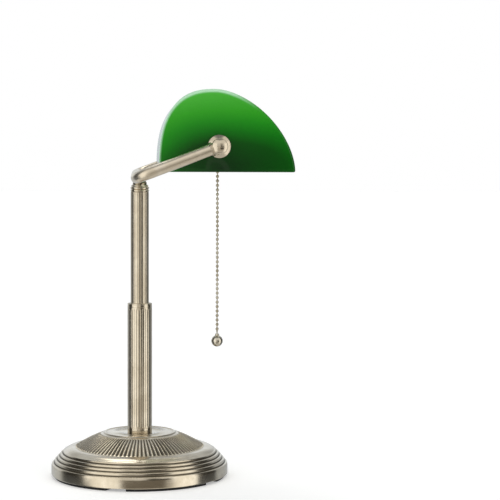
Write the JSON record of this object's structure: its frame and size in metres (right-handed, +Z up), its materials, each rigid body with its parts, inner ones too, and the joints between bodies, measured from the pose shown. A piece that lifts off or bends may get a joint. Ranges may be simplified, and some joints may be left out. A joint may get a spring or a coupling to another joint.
{
  "type": "banker desk lamp",
  "caption": "Desk lamp with a weighted round base, reeded two-stage column, U-shaped tube yoke and a tilting green glass shade over a pull-chain bulb socket.",
  "frame": {"origin": "centre of the foot ring's underside, on the floor under the column", "axes": "+X towards the front of the shade, +Y towards the far end of the shade (the pull chain is on the -Y side), +Z up along the column"},
  "size_m": [0.2405, 0.2636, 0.3943],
  "materials": {
    "antique_brass": "satin antique plating, lightly darkened in the recesses",
    "shadow_brass": "darkened satin",
    "chain_brass": "polished",
    "plain_brass": "bright",
    "zinc_steel": "zinc plated",
    "iron": "as cast, painted dark",
    "nickel": "plated",
    "green_glass": "cased glass, glossy green outside over an opal white inner layer",
    "frosted_glass": "frosted",
    "black_rubber": "matte",
    "black_foam": "closed-cell foam",
    "black_enamel": "black enamel",
    "phenolic": "moulded",
    "fibre": "vulcanised fibre"
  },
  "bodies": {
    "stand": {"foot_ring": "black_foam", "base_plate": "black_enamel", "base_weight": "iron", "base_spacer": "zinc_steel", "base_cover": "antique_brass", "base_nut": "zinc_steel", "base_washer": "zinc_steel", "cord_grommet": "black_rubber", "threaded_rod": "zinc_steel", "base_collar": "antique_brass", "lower_column": "antique_brass", "reducer_ring": "antique_brass", "upper_column": "antique_brass", "column_cap": "antique_brass", "yoke_saddle": "shadow_brass", "yoke": "antique_brass", "near_elbow": "antique_brass", "far_elbow": "antique_brass", "near_arm_ring": "shadow_brass", "far_arm_ring": "shadow_brass", "near_flange": "antique_brass", "far_flange": "antique_brass", "near_nipple": "zinc_steel", "far_stud": "zinc_steel", "near_lock_nut": "zinc_steel", "far_lock_nut": "zinc_steel", "socket_cap": "antique_brass", "socket_shell": "antique_brass", "socket_liner": "fibre", "socket_interior": "phenolic", "screw_shell": "plain_brass", "centre_contact": "plain_brass", "chain_bushing": "antique_brass", "bulb_base": "nickel", "bulb_contact": "zinc_steel", "bulb_glass": "frosted_glass"},
    "shade": {"glass_shade": "green_glass", "near_outer_washer": "black_rubber", "far_outer_washer": "black_rubber", "near_bushing": "shadow_brass", "far_bushing": "shadow_brass", "near_inner_washer": "black_rubber", "far_inner_washer": "black_rubber"},
    "switch": {"switch_lever": "zinc_steel", "lead_beads": "chain_brass"},
    "chain": {"pull_chain": "chain_brass", "chain_ball": "chain_brass"}
  },
  "joints": [
    {"name": "shade_tilt", "type": "hinge", "parent": "stand", "child": "shade", "pos_m": [0.076, 0, 0.3392], "axis": [0, -1, 0], "range_deg": [-175, 175], "deforming": ["pull_chain"]},
    {"name": "chain_pull", "type": "slide", "parent": "stand", "child": "switch", "axis": [0, 0, -1], "range_m": [0, 0.008], "stiffness_N_per_m": 250, "springref_m": -0.004},
    {"name": "chain_swing", "type": "hinge", "parent": "switch", "child": "chain", "pos_m": [0.076, -0.078, 0.3144], "axis": [0, -1, 0], "range_deg": [-30, 30]}
  ]
}
